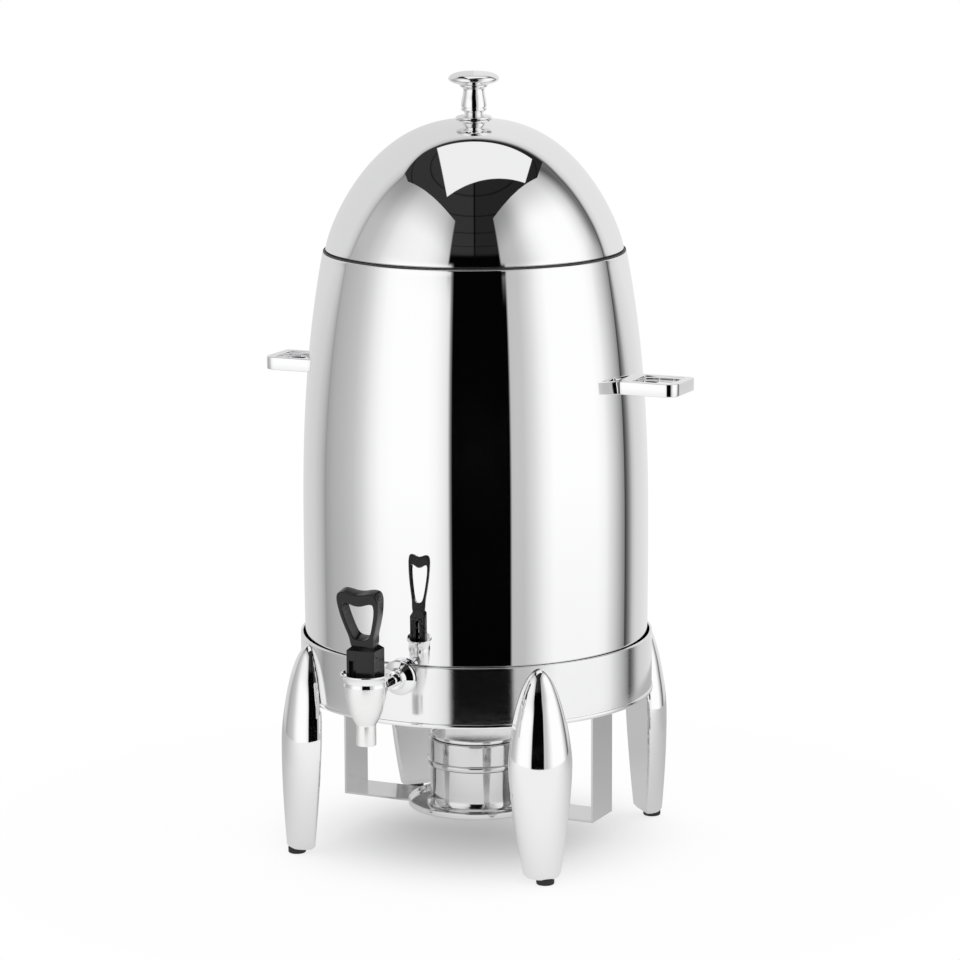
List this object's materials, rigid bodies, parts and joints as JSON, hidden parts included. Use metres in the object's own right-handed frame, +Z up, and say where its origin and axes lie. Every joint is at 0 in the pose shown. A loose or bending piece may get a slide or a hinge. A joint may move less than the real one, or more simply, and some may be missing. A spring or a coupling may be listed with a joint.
{
  "type": "coffee urn",
  "caption": "Mirror steel coffee urn on cast legs with a lift-off domed lid, side handles, a self-closing lever tap and a fuel holder below.",
  "frame": {"origin": "on the urn's vertical axis, level with the surface it stands on", "axes": "+Z up, the tap faces -Y, side handles along X"},
  "size_m": [0.3476, 0.3496, 0.5994],
  "materials": {
    "mirror_steel": "mirror polished",
    "brushed_steel": "fine horizontal brushing",
    "black_rubber": "matt moulded",
    "black_plastic": "satin moulded",
    "silicone": "translucent satin"
  },
  "bodies": {
    "urn": {"base_ring": "brushed_steel", "bracket_screws": "brushed_steel", "bracket_strap": "mirror_steel", "burner_tray": "mirror_steel", "coffee_liner": "brushed_steel", "foot_front_left": "black_rubber", "foot_front_right": "black_rubber", "foot_rear_left": "black_rubber", "foot_rear_right": "black_rubber", "handle_screws": "brushed_steel", "inner_washer": "silicone", "jam_nut": "mirror_steel", "leg_front_left": "mirror_steel", "leg_front_right": "mirror_steel", "leg_rear_left": "mirror_steel", "leg_rear_right": "mirror_steel", "leg_screws": "brushed_steel", "liner_seal": "silicone", "lock_nut": "brushed_steel", "outer_shell": "mirror_steel", "pan_bottom": "brushed_steel", "shank_sleeve": "brushed_steel", "shelf_ring": "brushed_steel", "side_handle_left": "mirror_steel", "side_handle_right": "mirror_steel", "tap_body": "mirror_steel", "tap_bonnet": "mirror_steel", "tap_rose": "mirror_steel", "tap_shank": "brushed_steel"},
    "lid": {"lid_dome": "mirror_steel", "lid_rim": "brushed_steel", "lid_knob": "mirror_steel", "knob_washer": "brushed_steel", "knob_screw": "brushed_steel"},
    "valve": {"valve_stem": "mirror_steel", "seal_cup": "silicone", "handle_pin": "mirror_steel", "valve_spring": "brushed_steel"},
    "lever": {"tap_handle": "black_plastic"},
    "holder": {"fuel_holder": "mirror_steel"},
    "cover": {"holder_cover": "mirror_steel", "damper_rivet": "mirror_steel"},
    "damper": {"damper": "mirror_steel"}
  },
  "joints": [
    {"name": "lid_lift", "type": "slide", "parent": "urn", "child": "lid", "axis": [0, 0, 1], "range_m": [0, 0.16]},
    {"name": "stem_lift", "type": "slide", "parent": "urn", "child": "valve", "axis": [0, 0, 1], "range_m": [0, 0.0036], "stiffness_N_per_m": 600, "springref_m": -0.004, "deforming": ["valve_spring"]},
    {"name": "tap_lever", "type": "hinge", "parent": "valve", "child": "lever", "pos_m": [0, -0.1933, 0.1808], "axis": [1, 0, 0], "range_deg": [0, 26]},
    {"name": "holder_lift", "type": "slide", "parent": "urn", "child": "holder", "axis": [0, 0, 1], "range_m": [0, 0.03]},
    {"name": "cover_lift", "type": "slide", "parent": "holder", "child": "cover", "axis": [0, 0, 1], "range_m": [0, 0.012]},
    {"name": "damper_swing", "type": "hinge", "parent": "cover", "child": "damper", "pos_m": [0, 0.0306, 0.0801], "axis": [0, 0, 1], "range_deg": [0, 110]}
  ],
  "couplings": [
    {"joint": "tap_lever", "follows": "stem_lift", "rad_per_m": 120}
  ]
}
